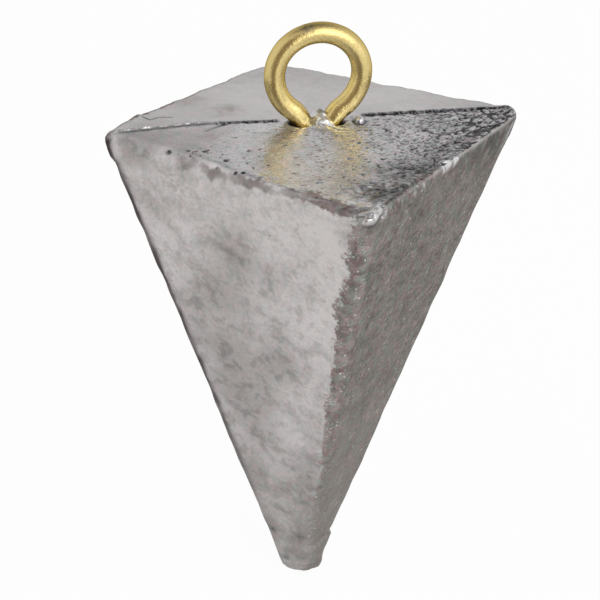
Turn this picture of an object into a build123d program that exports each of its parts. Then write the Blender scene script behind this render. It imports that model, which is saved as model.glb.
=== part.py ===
from build123d import *
import os
from math import acos, atan, cos, degrees, pi, sin, sqrt, tan

# A pyramid sinker: a four-sided lead casting, tip down, with a bent brass wire eye cast into its top.
# Millimetres. The origin is the centre of the eye, +Z runs up from the tip to the eye,
# and the mould's parting plane, which holds the whole wire, is y = 0.

# Lead casting
top_side = 27.0  # across the flats at the ridge, before the edges are rounded
tip_side = 2.8  # across the flats at the nipped end
body_height = 47.8  # from the ridge down to the nipped end
crown_angle = 3.1  # draft of the top, falling to the front and to the back of the ridge
side_edge_radius = 1.1
rim_edge_radius = 0.6
tip_edge_radius = 0.6

# Parting flash along the ridge and down the two edges in the parting plane
flash_width = 0.4
flash_height = 0.15

# Brass wire
wire_diameter = 1.83
eye_inner_diameter = 5.9
eye_height = 4.3  # from the ridge up to the centre of the eye
leg_spacing = 2.4  # between the centre lines of the two legs
shoulder_radius = 2.65  # of the centre line, where the eye turns down into a leg
leg_depth = 12.0  # straight leg below the ridge
foot_bend_radius = 1.8
foot_turn = 70.0
foot_length = 2.4

# Lead round the legs
cast_gap = 0.02  # between the wire and the lead
dimple_flare = 0.35  # shrinkage dimple round each leg
dimple_depth = 0.5
peak_height = 1.1  # lead drawn up between the legs
peak_base_radius = 1.3
peak_top_radius = 0.25

# Worked out from the sizes above
ridge_z = -eye_height
tip_z = ridge_z - body_height
half_diagonal = top_side / sqrt(2)
tip_half_diagonal = tip_side / sqrt(2)
side_lean = atan((top_side - tip_side) / 2 / body_height)
edge_lean = atan((half_diagonal - tip_half_diagonal) / body_height)
edge_turn = acos(sin(side_lean) ** 2)  # between the two side faces that meet at an edge
edge_radius = min(side_edge_radius, 0.4 * tip_side)
edge_retreat = edge_radius * (1 / cos(edge_turn / 2) - 1)
wire_radius = wire_diameter / 2
socket_radius = wire_radius + cast_gap
ring_radius = (eye_inner_diameter + wire_diameter) / 2
leg_x = leg_spacing / 2
shoulder_x = leg_x + shoulder_radius
shoulder_reach = ring_radius + shoulder_radius
shoulder_z = -sqrt(shoulder_reach**2 - shoulder_x**2)
shoulder_turn = degrees(acos(shoulder_x / shoulder_reach))
leg_end_z = ridge_z - leg_depth
bend_below_ridge = max(0, ridge_z - shoulder_z)
mouth_x = shoulder_x - sqrt(shoulder_radius**2 - bend_below_ridge**2)  # where a leg enters the lead
dimple_z = ridge_z - dimple_depth
dimple_radius = socket_radius + dimple_flare
flash_top_z = ridge_z + flash_height
flash_end_z = tip_z + tip_edge_radius


def flash_reach(z):
    """Distance from the axis to the outside of the flash on a side edge."""
    return half_diagonal + (z - ridge_z) * tan(edge_lean) + (flash_height - edge_retreat) / cos(edge_lean)


# Centre line of the wire: one half in the parting plane, then its mirror image
with BuildLine(Plane.XZ) as eye_line:
    ring = CenterArc((0, 0), ring_radius, -shoulder_turn, 90 + shoulder_turn)
    shoulder = CenterArc((shoulder_x, shoulder_z), shoulder_radius, 180 - shoulder_turn, shoulder_turn)
    leg = Line((leg_x, shoulder_z), (leg_x, leg_end_z))
    foot_bend = JernArc(start=leg @ 1, tangent=leg % 1, radius=foot_bend_radius, arc_size=foot_turn)
    foot = Line(foot_bend @ 1, foot_bend @ 1 + (foot_bend % 1) * foot_length)
    mirror(about=Plane.YZ)
eye_wire = eye_line.wire()
wire_start = Plane(origin=eye_wire @ 0, z_dir=eye_wire % 0)

with BuildPart() as wire_eye:
    with BuildSketch(wire_start):
        Circle(wire_radius)
    sweep(path=eye_wire)
wire_eye.part.label = "wire_eye"

# Two crossed wedges leave a tapered block with flat sides and its corners on the X and Y axes
side_profile = [
    (-top_side / 2, ridge_z),
    (top_side / 2, ridge_z),
    (tip_side / 2, tip_z),
    (-tip_side / 2, tip_z),
]
front_crown = Plane(origin=(0, 0, ridge_z), z_dir=(0, 0, 1)).rotated((crown_angle, 0, 0))

with BuildPart() as lead_body:
    with BuildSketch(Plane(origin=(0, 0, 0), x_dir=(1, 1, 0), z_dir=(1, -1, 0))):
        Polygon(*side_profile, align=None)
    extrude(amount=top_side, both=True)
    with BuildSketch(Plane(origin=(0, 0, 0), x_dir=(1, -1, 0), z_dir=(-1, -1, 0))):
        Polygon(*side_profile, align=None)
    extrude(amount=top_side, both=True, mode=Mode.INTERSECT)
    fillet(lead_body.edges().filter_by(lambda edge: abs((edge % 0.5).Z) > 0.5), radius=edge_radius)

    # The front mould half gets its drafted top and rounded rim, and the back half mirrors it
    split(bisect_by=Plane.XZ, keep=Keep.TOP)
    split(bisect_by=front_crown, keep=Keep.BOTTOM)
    crown_face = lead_body.faces().sort_by(Axis.Z)[-1]
    tip_face = lead_body.faces().sort_by(Axis.Z)[0]
    fillet(crown_face.edges().filter_by(Axis.X, reverse=True), radius=rim_edge_radius)
    fillet(tip_face.edges().filter_by(Axis.X, reverse=True), radius=tip_edge_radius)
    mirror(about=Plane.XZ)

    # Flash squeezed out between the mould halves, nipped off where the tip is rounded
    with BuildSketch(Plane.XZ) as flash:
        Polygon(
            (-flash_reach(flash_top_z), flash_top_z),
            (flash_reach(flash_top_z), flash_top_z),
            (flash_reach(flash_end_z), flash_end_z),
            (-flash_reach(flash_end_z), flash_end_z),
            align=None,
        )
        fillet(flash.vertices().group_by(Axis.Y)[-1], radius=rim_edge_radius + flash_height)
    extrude(amount=flash_width / 2, both=True)

    # Shrinkage dimple round each leg
    with Locations((-mouth_x, 0, dimple_z), (mouth_x, 0, dimple_z)):
        Cone(
            bottom_radius=socket_radius,
            top_radius=dimple_radius,
            height=dimple_depth + flash_height,
            align=(Align.CENTER, Align.CENTER, Align.MIN),
            mode=Mode.SUBTRACT,
        )

    # Lead drawn up between the legs
    with Locations((0, 0, dimple_z)):
        Cone(
            bottom_radius=peak_base_radius,
            top_radius=peak_top_radius,
            height=dimple_depth + peak_height,
            align=(Align.CENTER, Align.CENTER, Align.MIN),
        )

    # The wire's own shape is left open in the lead that was poured round it
    with BuildSketch(wire_start):
        Circle(socket_radius)
    sweep(path=eye_wire, mode=Mode.SUBTRACT)
lead_body.part.label = "lead_body"

os.makedirs("parts", exist_ok=True)
for piece in (lead_body, wire_eye):
    export_step(piece.part, f"parts/{piece.part.label}.step")
    print(piece.part.label, "volume", round(piece.part.volume, 1), "mm3")
print("wire section times length", round(pi * wire_radius**2 * eye_wire.length, 1), "mm3")
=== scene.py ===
from math import atan, cos, pi, radians, sin, sqrt, tan

import bmesh
import bpy
import numpy as np
from mathutils import Matrix, Vector


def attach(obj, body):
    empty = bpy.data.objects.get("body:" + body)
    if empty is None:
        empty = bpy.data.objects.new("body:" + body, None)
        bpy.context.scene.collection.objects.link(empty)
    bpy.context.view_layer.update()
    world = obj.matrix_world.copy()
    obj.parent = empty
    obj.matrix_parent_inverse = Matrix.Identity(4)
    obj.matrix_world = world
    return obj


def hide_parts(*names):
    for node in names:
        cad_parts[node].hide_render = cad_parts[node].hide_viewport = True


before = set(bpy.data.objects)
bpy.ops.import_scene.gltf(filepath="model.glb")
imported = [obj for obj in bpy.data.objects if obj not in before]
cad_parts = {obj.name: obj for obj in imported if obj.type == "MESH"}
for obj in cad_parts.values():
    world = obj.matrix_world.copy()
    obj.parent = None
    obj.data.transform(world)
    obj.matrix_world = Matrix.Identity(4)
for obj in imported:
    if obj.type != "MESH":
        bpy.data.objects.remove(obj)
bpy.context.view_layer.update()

# A pyramid sinker: a pitted, wrinkled lead casting, tip down, with a satin brass wire eye cast in.
# The scene is in metres. Sizes below are in millimetres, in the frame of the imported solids:
# the origin is the centre of the eye, +Z runs up from the tip, and the mould parts on the plane y = 0.
MM = 0.001

# Lead casting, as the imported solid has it
TOP_SIDE = 27.0
TIP_SIDE = 2.8
BODY_HEIGHT = 47.8
CROWN_ANGLE = radians(3.1)
EDGE_RADIUS = 1.1
RIM_RADIUS = 0.6
TIP_RADIUS = 0.6
FLASH_HEIGHT = 0.15
FLASH_WIDTH = 0.4

# Brass wire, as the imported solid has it
WIRE_RADIUS = 0.915
RING_RADIUS = 3.865
EYE_HEIGHT = 4.3
LEG_X = 1.2
SHOULDER_RADIUS = 2.65
LEG_DEPTH = 12.0
FOOT_BEND_RADIUS = 1.8
FOOT_TURN = radians(70)
FOOT_LENGTH = 2.4

# Camera, from a fit of the solids' outline to the photograph
CAMERA_AZIMUTH = radians(-13.77)
CAMERA_ELEVATION = radians(27.52)
CAMERA_ROLL = radians(2.01)
CAMERA_DISTANCE = 152.46
CAMERA_TARGET = Vector((-0.92, 0, -21.94))
CAMERA_LENS = 99.1

# Worked out from the sizes above
RIDGE_Z = -EYE_HEIGHT
TIP_Z = RIDGE_Z - BODY_HEIGHT
SIDE_LEAN = atan((TOP_SIDE - TIP_SIDE) / 2 / BODY_HEIGHT)
CORNER_REACH = TOP_SIDE / sqrt(2)
SHOULDER_X = LEG_X + SHOULDER_RADIUS
SHOULDER_Z = -sqrt((RING_RADIUS + SHOULDER_RADIUS) ** 2 - SHOULDER_X**2)
SHOULDER_TURN = atan(-SHOULDER_Z / SHOULDER_X)
MOUTH_X = SHOULDER_X - sqrt(SHOULDER_RADIUS**2 - (RIDGE_Z - SHOULDER_Z) ** 2)


def ease(low, high, value):
    """0 at low, 1 at high, smooth between; low may be the larger."""
    share = np.clip((value - low) / (high - low), 0, 1)
    return share * share * (3 - 2 * share)


def bell(value, width):
    """1 where the value is 0, falling off over that width."""
    return np.exp(-((value / width) ** 2))


def drift(points, size, seed):
    """Smooth noise, about -1 to 1, with lumps of that size; size may differ by axis."""
    draw = np.random.default_rng(seed)
    order = draw.permutation(256)
    slopes = draw.normal(size=(256, 3))
    slopes /= np.linalg.norm(slopes, axis=1)[:, None]
    place = points / np.asarray(size, float) + draw.uniform(0, 50, 3)
    cell = np.floor(place).astype(int)
    rest = place - cell
    fade = rest**3 * (rest * (rest * 6 - 15) + 10)
    total = np.zeros(len(points))
    for corner in np.ndindex(2, 2, 2):
        spot = (cell + corner) & 255
        pick = order[(order[(order[spot[:, 0]] + spot[:, 1]) & 255] + spot[:, 2]) & 255]
        weight = np.prod(np.where(corner, fade, 1 - fade), axis=1)
        total += weight * np.sum(slopes[pick] * (rest - corner), axis=1)
    return total * 1.6


# The casting's form

LEFT, RIGHT, BACK_RIGHT, BACK_LEFT, TOP, NIP = range(6)
SIDE_SIGNS = ((-1, -1), (1, -1), (1, 1), (-1, 1))
FACETS = (
    ("left", "front", "right"),
    ("right", "back", "left"),
    ("left", "tip", "front"),
    ("front", "tip", "right"),
    ("right", "tip", "back"),
    ("back", "tip", "left"),
)
TOP_FRONT, TOP_BACK = 0, 1
GRID_PARTS = 80


PARTING_X = (-18.6, -17.0, -9.7, -8.5, -2.5, 2.5, 4.7, 16.3, 18.6)
PARTING_Y = (0, 0.05, 0.95, 0.65, 0.6, 0.7, 0.8, 0.8, 0.3)


def parting_y(x):
    """Where the parting line runs on the top: it strays behind the wire's plane between the corners."""
    return np.interp(x, PARTING_X, PARTING_Y)


def casting_corners():
    """The corners of the casting before its edges are rounded."""
    front_reach = TOP_SIDE / 2 / (sqrt(0.5) + tan(SIDE_LEAN) * tan(CROWN_ANGLE))
    front_z = RIDGE_Z - front_reach * tan(CROWN_ANGLE)
    return {
        "left": np.array((-CORNER_REACH, 0, RIDGE_Z)),
        "right": np.array((CORNER_REACH, 0, RIDGE_Z)),
        "front": np.array((0, -front_reach, front_z)),
        "back": np.array((0, front_reach, front_z)),
        "tip": np.array((0, 0, RIDGE_Z - TOP_SIDE / 2 / tan(SIDE_LEAN))),
    }


def facet_grid(corners):
    """Points and triangles that divide one triangular facet evenly."""
    parts = GRID_PARTS
    rows = [(i, j) for i in range(parts + 1) for j in range(parts + 1 - i)]
    number = {pair: k for k, pair in enumerate(rows)}
    share = np.array([(parts - i - j, i, j) for i, j in rows]) / parts
    triangles = []
    for i, j in rows:
        if i + j < parts:
            triangles.append((number[i, j], number[i + 1, j], number[i, j + 1]))
        if i + j < parts - 1:
            triangles.append((number[i + 1, j], number[i + 1, j + 1], number[i, j + 1]))
    return share @ np.array(corners), np.array(triangles)


def by_the_crack(middle):
    """Near the hairline crack on the back of the top."""
    return -15.4 < middle.x < -12.1 and 2.3 < middle.y < 3.6


def with_relief(middle, facet):
    """Where the casting has relief: the front of the top, the ridge, the rims and the side edges."""
    if facet == TOP_FRONT:
        return True
    if facet == TOP_BACK:
        return middle.y < parting_y(middle.x) + 0.6 or by_the_crack(middle)
    front_edge = middle.y < 0 and abs(middle.x) < 2.3
    return front_edge or abs(middle.y) < 0.6 or middle.z > RIDGE_Z - 1.6 or middle.z < TIP_Z + 7


def with_fine_relief(middle, facet):
    """Where that relief is fine: the wrinkled front of the top and its rims."""
    if facet == TOP_FRONT:
        return middle.x > -8.4 or middle.y > -0.2
    if facet == TOP_BACK:
        return middle.y < parting_y(middle.x) + 0.35 or by_the_crack(middle)
    if middle.y < -14 and middle.z > RIDGE_Z - 4:
        return True
    return middle.y < 0.3 and middle.z > RIDGE_Z - 0.9 and middle.x > -12


def by_the_legs(middle, facet):
    """Where it is finest: the lead round the wire's legs, and the parting line."""
    if facet not in (TOP_FRONT, TOP_BACK):
        return False
    on_line = abs(middle.y - parting_y(middle.x)) < 0.2
    by_legs = -2.4 < middle.x < 4.5 and -2.2 < middle.y < 1.1
    return on_line or by_legs or facet == TOP_BACK and by_the_crack(middle)


def refine(mesh, wanted):
    """Divides the faces that are wanted, by their middle and facet."""
    chosen = set()
    for face in mesh.faces:
        if wanted(face.calc_center_median(), face.material_index):
            chosen.update(face.edges)
    bmesh.ops.subdivide_edges(mesh, edges=list(chosen), cuts=1, use_grid_fill=True)
    bmesh.ops.triangulate(mesh, faces=[face for face in mesh.faces if len(face.verts) > 3])


def sharp_casting():
    """The casting as a fine triangle mesh with sharp edges; each face's material index is its facet."""
    corners = casting_corners()
    points, triangles, facets = [], [], []
    for facet, names in enumerate(FACETS):
        grid, cells = facet_grid([corners[name] for name in names])
        triangles.append(cells + sum(len(part) for part in points))
        points.append(grid)
        facets += [facet] * len(cells)
    points, triangles = np.concatenate(points), np.concatenate(triangles)
    _, first, merged = np.unique(points.round(5), axis=0, return_index=True, return_inverse=True)
    data = bpy.data.meshes.new("lead_casting")
    data.from_pydata(points[first].tolist(), [], merged.ravel()[triangles].tolist())
    data.polygons.foreach_set("material_index", np.array(facets, np.int32))
    mesh = bmesh.new()
    mesh.from_mesh(data)
    for wanted in (with_relief, with_fine_relief, by_the_legs):
        refine(mesh, wanted)
    mesh.to_mesh(data)
    mesh.free()
    return data


def plane_heights(points):
    """Height of each point above the four sides, the top and the nipped end, before rounding."""
    x, y, z = points.T
    z = z - RIDGE_Z
    sides = [
        cos(SIDE_LEAN) * ((sx * x + sy * y) * sqrt(0.5) - TOP_SIDE / 2) - sin(SIDE_LEAN) * z
        for sx, sy in SIDE_SIGNS
    ]
    top = cos(CROWN_ANGLE) * z + sin(CROWN_ANGLE) * np.abs(y - parting_y(x))
    nip = -z - BODY_HEIGHT
    return np.stack([*sides, top, nip], axis=1)


def roundness(points):
    """Radii of the rims and of the side edges: they wander, and differ by corner and by rim."""
    x, y, z = points.T
    rim = ease(RIDGE_Z - 3.0, RIDGE_Z - 0.7, z)
    tip = ease(TIP_Z + 2.5, TIP_Z + 0.8, z)
    radius = EDGE_RADIUS + (RIM_RADIUS - EDGE_RADIUS) * rim
    left_rim = rim * ease(-6, -12, x) * ease(0.6, -1.6, y)
    front_rim = 0.35 * rim * ease(-2, -4, y) - 0.55 * rim * ease(5, 10, x) * ease(0, -2, y)
    right_corner = bell(np.hypot(x - 19, y), 2.2)
    front_corner_share = bell(np.hypot(x, y + 18.5), 2.0)
    corners = bell(np.hypot(x + 19, y), 2.2) - 0.6 * front_corner_share - 0.6 * right_corner
    back_corner = bell(np.hypot(x, y - 18.5), 3.0)
    back_left_rim = ease(-17.5, -15.5, x) * ease(-9, -11.5, x) * ease(1, 2.5, y)
    back_right_rim = ease(2, 5, x) * ease(16, 13, x) * ease(1, 2.5, y)
    radius = radius + 0.9 * left_rim + front_rim
    back_rims = 0.9 * back_corner - 0.35 * back_left_rim + 0.3 * back_right_rim
    radius = radius + rim * (0.5 * corners + back_rims)
    radius = radius + 0.2 * ease(TIP_Z + 12, TIP_Z + 5, z) * ease(TIP_Z + 0.8, TIP_Z + 3.5, z)
    seam = ease(3.5, 1.2, np.abs(y))
    wander = 0.22 * drift(points, 2.6, 11) + 0.10 * drift(points, 1.1, 12)
    radius = radius * (1 + (1 - 0.8 * seam) * wander)
    return radius + (TIP_RADIUS - radius) * tip, np.maximum(radius, 1.2 * right_corner)


def rounded(heights, radius):
    """Signed distance to where planes at those heights meet in an edge of that radius."""
    over = np.maximum(heights + radius[:, None], 0)
    return np.minimum(heights.max(axis=1) + radius, 0) - radius + np.linalg.norm(over, axis=1)


def skin(points, rim_radius, side_radius):
    """Signed distance to the casting with rounded edges."""
    heights = plane_heights(points)
    sides = rounded(heights[:, :TOP], side_radius)
    return rounded(np.column_stack([sides, heights[:, TOP:]]), rim_radius)


def skin_slope(points, radii):
    """The skin's distance and its gradient."""
    step = 0.01
    slope = np.empty_like(points)
    for axis in range(3):
        move = np.zeros(3)
        move[axis] = step
        slope[:, axis] = (skin(points + move, *radii) - skin(points - move, *radii)) / (2 * step)
    return skin(points, *radii), slope


def round_off(points):
    """The points moved onto the rounded casting, with its outward normals there."""
    for _ in range(8):
        distance, slope = skin_slope(points, roundness(points))
        points = points - slope * (distance / np.sum(slope**2, axis=1))[:, None]
    slope = skin_slope(points, roundness(points))[1]
    return points, slope / np.linalg.norm(slope, axis=1)[:, None]


# Relief of the casting: each function gives a height, and a mask where the material needs one

# Places on the top are (x, y); a radius or size follows where a piece of relief has its own
NODULE_X, NODULE_Y, NODULE_RADIUS = 3.7, -0.6, 0.52
CRACK_X = (-15.2, -14.9, -14.3, -13.4, -12.3)
CRACK_Y = (3.3, 3.2, 2.6, 3.2, 2.95)
PITS = (
    (-13.73, -4.0, 0.22), (-12.1, -4.5, 0.14), (-11.5, -4.75, 0.13), (-10.7, -4.8, 0.16),
    (-9.3, -6.7, 0.2), (-8.9, -8.9, 0.14), (-8.3, -9.2, 0.15), (-7.1, -5.2, 0.12),
    (-10.2, -7.4, 0.11), (-6.0, -8.1, 0.1),
)


def hump(points, x, y, radius):
    """A round hump of height 1 on the top, at that place."""
    return np.sqrt(np.clip(1 - ((points[:, 0] - x) ** 2 + (points[:, 1] - y) ** 2) / radius**2, 0, 1))


def wrinkles(points, top):
    """Where the lead froze in pocks and furrows: few on the left of the top, and coarse on its right."""
    x, y, _ = points.T
    place = np.stack([x, y + 0.03 * x - 0.004 * np.maximum(x, 0) ** 2, np.zeros_like(x)], axis=1)
    place = place + 0.25 * drift(place, 1.1, 26)[:, None] * (1, 0.5, 0)
    to_right = ease(-7, 10, x)
    rumple = drift(place, (0.6, 0.32, 1), 21) + 0.7 * drift(place, (0.3, 0.19, 1), 22)
    crowding = 0.15 * drift(place, 2.5, 27) - 0.75 + 0.5 * to_right + 0.2 * ease(7, 15, x)
    pock = ease(0, 0.35, rumple + crowding)
    network = ease(0.26, 0.05, np.abs(drift(place, (1.5, 0.75, 1), 24))) * ease(6, 14, x)
    swirl_patch = bell(np.hypot((x - 1.9) / 2.3, (y + 14.1) / 1.65), 1)
    along_rim, from_rim = (x + y) * sqrt(0.5), TOP_SIDE / 2 - (x - y) * sqrt(0.5)
    dim_patch = bell(from_rim - 1.1, 1.4) * ease(-9, -6.5, along_rim) * ease(6, 4, along_rim)
    dim_patch += 1.2 * bell(np.hypot((x - 4.3) / 2.8, (y + 10.4) / 1.5), 1)
    by_nodule = bell(np.hypot(x - NODULE_X, y - NODULE_Y), 0.8)
    by_wire = bell(np.hypot(0.7 * x, y + 0.5), 1.3)
    clear = 1 - by_nodule - by_wire - 0.9 * swirl_patch
    strength = ease(-13, -6, x) * ease(0.0, -0.5, y - parting_y(x)) * np.clip(clear, 0, 1) * top
    # furrow also darkens the colour: painted shade in the pocks and furrows
    furrow = np.clip(pock + network, 0, 1) * strength
    swirl = drift(place + 0.9 * drift(place, 1.3, 25)[:, None] * (0.3, 1, 0), (1.0, 0.42, 1), 23) * top
    height = strength * (-0.06 * furrow - 0.06 * (0.2 + 0.8 * to_right + 0.4 * ease(8, 14, x)) * rumple)
    height += (0.2 * swirl - 0.12) * swirl_patch * top
    dark = 1.2 * swirl_patch * np.clip(0.65 + 1.1 * swirl, 0, 1)
    dark += 0.6 * dim_patch * np.clip(0.8 + 0.8 * swirl, 0, 1)
    return height, furrow, np.clip(dark, 0, 1) * top


def parting_line(points, top):
    """The ridge's flash: a bead on the left with painted glints and a painted shadow below it, then a
    crevice, then a groove below a step, with painted shade in the branch, the crack, the crevice and the
    groove.
    """
    x, y, _ = points.T
    line = points * (1, 0, 0)
    off = y - parting_y(x) - 0.10 * drift(line, 1.6, 31) - 0.05 * drift(line, 0.5, 32)
    ragged = np.clip(0.75 + 0.5 * drift(line, 0.6, 33), 0.2, 1.2)
    broken = ease(-0.4, 0.3, drift(points, (0.17, 0.35, 1), 36))
    # Painted glints along the bead
    glinting = np.clip(0.55 + 2.0 * drift(line, 0.13, 34), 0, 1)
    bead = ease(-18.4, -16.8, x) * ease(-8.2, -10.0, x) * bell(off, 0.15) * ragged
    below_bead = ease(-18.0, -16.0, x) * ease(-8.2, -10.0, x) * bell(off + 0.34, 0.16)
    crevice_zone = ease(-9.4, -8.4, x) * ease(-3.0, -3.7, x)
    crevice = crevice_zone * bell(off + 0.02, 0.42 * ragged)
    branch = ease(-10.6, -9.8, x) * ease(-7.9, -8.4, x) * bell(y + 0.9 - 0.6 * (x + 10.1), 0.12)
    step_zone = ease(3.9, 4.8, x) * ease(18.3, 17.6, x)
    groove = step_zone * bell(off + 0.12, 0.34 * ragged)
    rear = step_zone * ease(-0.05, 0.35, off) * np.exp(-np.abs(off) / 2.0)
    crack_y = np.interp(x, CRACK_X, CRACK_Y) + 0.06 * drift(line, 0.4, 35)
    crack = ease(-15.1, -14.7, x) * ease(-12.0, -12.5, x) * bell(y - crack_y, 0.12)
    height = 0.2 * bead - 0.14 * crevice - 0.08 * branch + 0.08 * rear - 0.12 * groove - 0.04 * crack
    # Painted shadow below the bead, and painted shade in the branch, the crack, the crevice and the groove
    dark = 0.65 * below_bead + 0.5 * branch + 0.6 * crack
    dark += (np.clip(1.8 * crevice, 0, 1) + np.clip(2.0 * groove, 0, 1)) * (0.4 + 0.6 * broken)
    return height * top, np.clip(dark, 0, 1) * top, bead * glinting * top


def lead_round_the_legs(points, top):
    """The dimple round each leg, the peak drawn up between them, small lumps before it and a nodule."""
    x, y, _ = points.T
    leg = np.hypot(np.abs(x) - MOUTH_X, y)
    dimple = ease(1.34, 0.97, leg)
    collar = bell(leg - 1.5, 0.25) * (0.6 + 0.6 * drift(points, 0.8, 41))
    hollow = -0.5 * dimple + 0.08 * collar
    uneven = 0.2 * (0.3 - np.abs(drift(points, 0.8, 42))) + 0.05 * drift(points, 0.35, 43)
    ahead = np.where(y < -0.05, 0.72, 0.9) * (y + 0.05)
    peak = 1.35 - 1.02 * np.sqrt((x - 0.28) ** 2 + ahead**2 + 0.25**2) + uneven
    spur = 0.34 * bell(x + 0.1 + 0.1 * y, 0.6) * ease(-2.7, -1.3, y) * ease(0.4, -0.2, y)
    spur = spur * (1 + 3 * uneven)
    height = np.maximum(np.maximum(hollow, peak), hollow + spur)
    splash = bell(np.hypot((x - 2.0) / 0.8, (y + 1.5) / 0.8), 1)
    splash += 0.6 * bell(np.hypot((x + 1.6) / 0.6, (y + 1.5) / 0.4), 1)
    splash *= ease(-0.1, 0.5, drift(points, (0.5, 0.35, 1), 45))
    fresh_and_glints = np.clip(ease(-0.25, 0.1, peak) + 2 * spur + 0.8 * splash, 0, 1)
    nodule = hump(points, NODULE_X, NODULE_Y, NODULE_RADIUS)
    from_nodule = np.hypot(x - NODULE_X, y - NODULE_Y)
    halo = ease(1.25, 0.8, from_nodule + 0.3 * drift(points, 0.5, 44))
    round_nodule = bell(from_nodule - 0.58, 0.12) + 0.2 * halo
    # Painted shade in the dimples round the legs, in a ring round the nodule and in creases between the
    # peak's bright facets; the peak's tip is darker too
    shade = ease(0.25, 0.9, dimple) * (1 - fresh_and_glints) + 0.7 * round_nodule + 0.6 * ease(0.75, 1.15, peak)
    shade = np.clip(shade + 0.5 * fresh_and_glints * ease(0.0, -0.1, uneven), 0, 1)
    return (height + 0.5 * nodule) * top, np.clip(fresh_and_glints + nodule, 0, 1) * top, shade * top


def side_flash(points, normals):
    """Fins squeezed out down the two edges where the mould parts."""
    _, y, z = points.T
    uneven = 0.8 + 0.6 * drift(points * (0, 0, 1), 1.9, 51)
    outward = ease(0.5, 0.8, np.abs(normals[:, 0])) * ease(RIDGE_Z - 0.4, RIDGE_Z - 1.6, z)
    return FLASH_HEIGHT * bell(y, 0.4 * FLASH_WIDTH) * uneven * outward


def left_nub(points, depth):
    """The nub of flash on the left corner: its height, its darker skin with painted shade along its outer
    edge, and a painted highlight beside it.
    """
    down = RIDGE_Z - points[:, 2] + 0.2 * drift(points, 0.8, 54)
    from_edge = np.maximum(depth[:, LEFT], depth[:, BACK_LEFT])
    nub = ease(0.2, 0.7, down) * ease(2.7, 2.1, down)
    # A painted highlight beside the nub
    light = bell(np.linalg.norm((points - (-17.6, -0.95, -5.8)) / (1, 1, 1.7), axis=1), 0.4)
    brown = bell(np.linalg.norm(points - (-17.3, -1.7, -4.6), axis=1), 0.9)
    # Painted shade along the nub's outer edge, with a brownish patch
    dark = nub * ease(1.2, 0.8, from_edge) + 0.25 * brown
    return 0.2 * nub * ease(1.35, 1.05, from_edge), np.clip(dark - light, 0, 1), light


def right_nub(points, depth, top):
    """The nub of flash on the right corner: its height, a painted shade outline, a painted highlight strip
    and the dim side below.
    """
    x, y, z = points.T
    down = RIDGE_Z - z + 0.2 * drift(points, 0.8, 54)
    from_edge = np.maximum(depth[:, RIGHT], depth[:, BACK_RIGHT])
    # The nub, and its painted shade outline at the edge
    nub = ease(0.7, 0.5, from_edge) * ease(0.2, 0.6, down) * ease(4.6, 3.0, down)
    # A painted highlight strip on the rounded edge below the corner
    strip = bell(depth[:, BACK_RIGHT] - 1.0, 0.25) * ease(0.6, 0.3, depth[:, RIGHT])
    strip = strip * ease(0.5, 1.0, down) * ease(3.2, 2.4, down)
    raised = bell(np.hypot(x - 17.9, y - 0.2), 0.9) - 1.6 * ease(17.9, 18.7, x)
    raised = raised * np.clip(top + 0.6 * ease(1.2, 0.4, down), 0, 1)
    brown = ease(11, 16, x) * ease(5, 2, depth[:, TOP]) + 0.5 * ease(6, 10, x) * ease(4, 1, depth[:, TOP])
    brown *= ease(0.8, 0.3, depth[:, RIGHT]) * ease(0.1, 0.5, depth[:, TOP]) * (1 - strip)
    brown *= ease(-0.6, 0.4, drift(points, 0.9, 56))
    return 0.1 * nub + 0.24 * raised - 0.05 * strip, 0.8 * nub, strip, brown


def rim_lumps(points, depth):
    """Lumps on the worn edges, a burr on the front right rim, and slow waves down the right edge."""
    x, y, z = points.T
    near_edge = ease(2.4, 0.6, np.sort(depth, axis=1)[:, 1])
    off_seam = ease(0.6, 2.0, np.abs(y))
    lumps = 0.12 * drift(points, 1.9, 71) + 0.05 * drift(points, 0.9, 72) + 0.03 * drift(points, 0.4, 68)
    lumps = near_edge * off_seam * lumps
    along = (x + y) * sqrt(0.5)
    by_rim = np.maximum(depth[:, RIGHT], depth[:, TOP])
    uneven = drift(points, 2.2, 76) + 0.5 * drift(points, 0.45, 75)
    burr = bell(by_rim - 0.2, 0.3) * ease(-11, -9, along) * ease(4.5, 2.5, along) * ease(-0.1, 0.6, uneven)
    seam_waves = ease(2.5, 1.0, np.abs(y)) * ease(2, 6, x) * ease(RIDGE_Z - 4, RIDGE_Z - 8, z)
    seam_waves *= 0.1 * drift(points * (0, 0, 1), 2.4, 58)
    return lumps * (1 - 0.45 * ease(1.5, 0.5, by_rim)) + 0.16 * burr + seam_waves


RIM_GLINTS = ((5.5, -13.6, 0.5), (6.4, -12.5, 0.4), (9.0, -9.8, 0.8), (10.2, -8.9, 0.5))


# Painted glints down the front edge: (x, z, half width, half height)
EDGE_GLINTS = (
    (-0.3, -11.8, 0.3, 0.25), (-0.1, -17.6, 0.28, 0.22), (0.4, -18.0, 0.22, 0.2), (0.15, -18.9, 0.2, 0.25),
    (0.0, -19.3, 0.18, 0.2), (-0.3, -20.4, 0.18, 0.22), (0.2, -21.5, 0.3, 0.18), (0.1, -23.7, 0.18, 0.2),
    (-0.1, -25.7, 0.3, 0.24), (0.25, -25.4, 0.22, 0.16), (-0.05, -26.6, 0.2, 0.22), (0.4, -27.1, 0.2, 0.2),
    (-0.15, -27.1, 0.22, 0.2), (0.2, -28.3, 0.55, 0.16), (0.1, -30.2, 0.2, 0.22), (0.1, -30.8, 0.22, 0.2),
)


def painted_edge_glints(points):
    """Where small painted glints crowd down the front edge: places (x, z) and half sizes."""
    x, y, z = points.T
    marks = sum(
        np.clip(1 - ((x - at_x) / wide) ** 2 - ((z - at_z) / tall) ** 2, 0, 1)
        for at_x, at_z, wide, tall in EDGE_GLINTS
    )
    return np.clip(1.5 * marks, 0, 1) * ease(-2, -4, y)


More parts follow.
